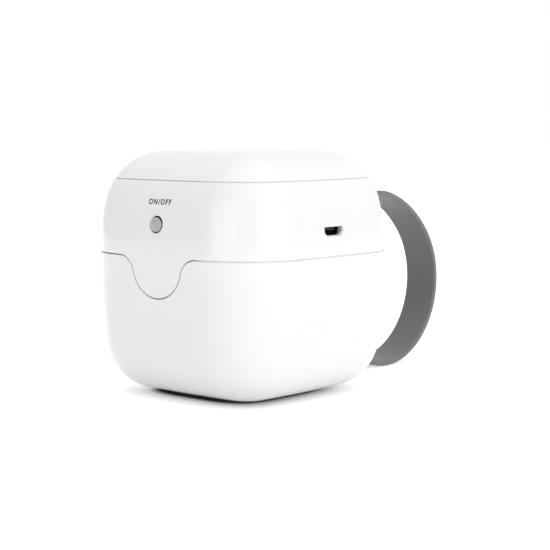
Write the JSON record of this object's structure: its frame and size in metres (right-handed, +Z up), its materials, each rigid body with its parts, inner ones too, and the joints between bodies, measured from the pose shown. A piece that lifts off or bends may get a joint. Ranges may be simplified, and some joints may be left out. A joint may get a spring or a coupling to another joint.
{
  "type": "pacifier steriliser case",
  "caption": "Rounded pocket case with a hinged lid, a mirror-lined chamber, a power button, a charging socket and a soft carrying loop.",
  "frame": {"origin": "on the table, under the middle of the case, on the underside of the foot pad", "axes": "+Y from the front with the button to the back with the loop, +X to the side with the charging socket, +Z up"},
  "size_m": [0.062, 0.1092, 0.0613],
  "materials": {
    "white_abs": "gloss",
    "mirror_plated": "mirror",
    "dark_silicone": "satin",
    "grey_silicone": "satin",
    "button_plastic": "satin",
    "steel": "satin",
    "nickel": "gloss",
    "quartz": "clear",
    "board_laminate": "satin",
    "chip_black": "matt",
    "lamp_ceramic": "matt",
    "battery_foil": "satin"
  },
  "bodies": {
    "base": {"base_shell": "white_abs", "base_liner": "mirror_plated", "base_screws": "steel", "foot_pad": "grey_silicone", "strap": "dark_silicone", "strap_bar": "steel", "hinge_pin_left": "steel", "hinge_pin_right": "steel", "base_magnet": "nickel"},
    "lid": {"lid_shell": "white_abs", "lid_cap": "white_abs", "lid_liner": "mirror_plated", "lid_screws": "steel", "lid_magnet": "nickel", "uv_window": "quartz", "uv_leds": "lamp_ceramic", "main_board": "board_laminate", "controller_chip": "chip_black", "charger_chip": "chip_black", "boost_inductor": "chip_black", "status_led": "lamp_ceramic", "hall_sensor": "chip_black", "battery": "battery_foil", "usb_shell": "nickel", "usb_tongue": "chip_black", "tact_switch": "chip_black"},
    "button": {"power_button": "button_plastic", "switch_plunger": "chip_black"}
  },
  "joints": [
    {"name": "lid_hinge", "type": "hinge", "parent": "base", "child": "lid", "pos_m": [0, 0.0318, 0.0363], "axis": [-1, 0, 0], "range_deg": [0, 95], "deforming": ["strap"]},
    {"name": "power_press", "type": "slide", "parent": "lid", "child": "button", "axis": [0, 1, 0], "range_m": [0, 0.0004], "stiffness_N_per_m": 500, "springref_m": -0.001}
  ]
}
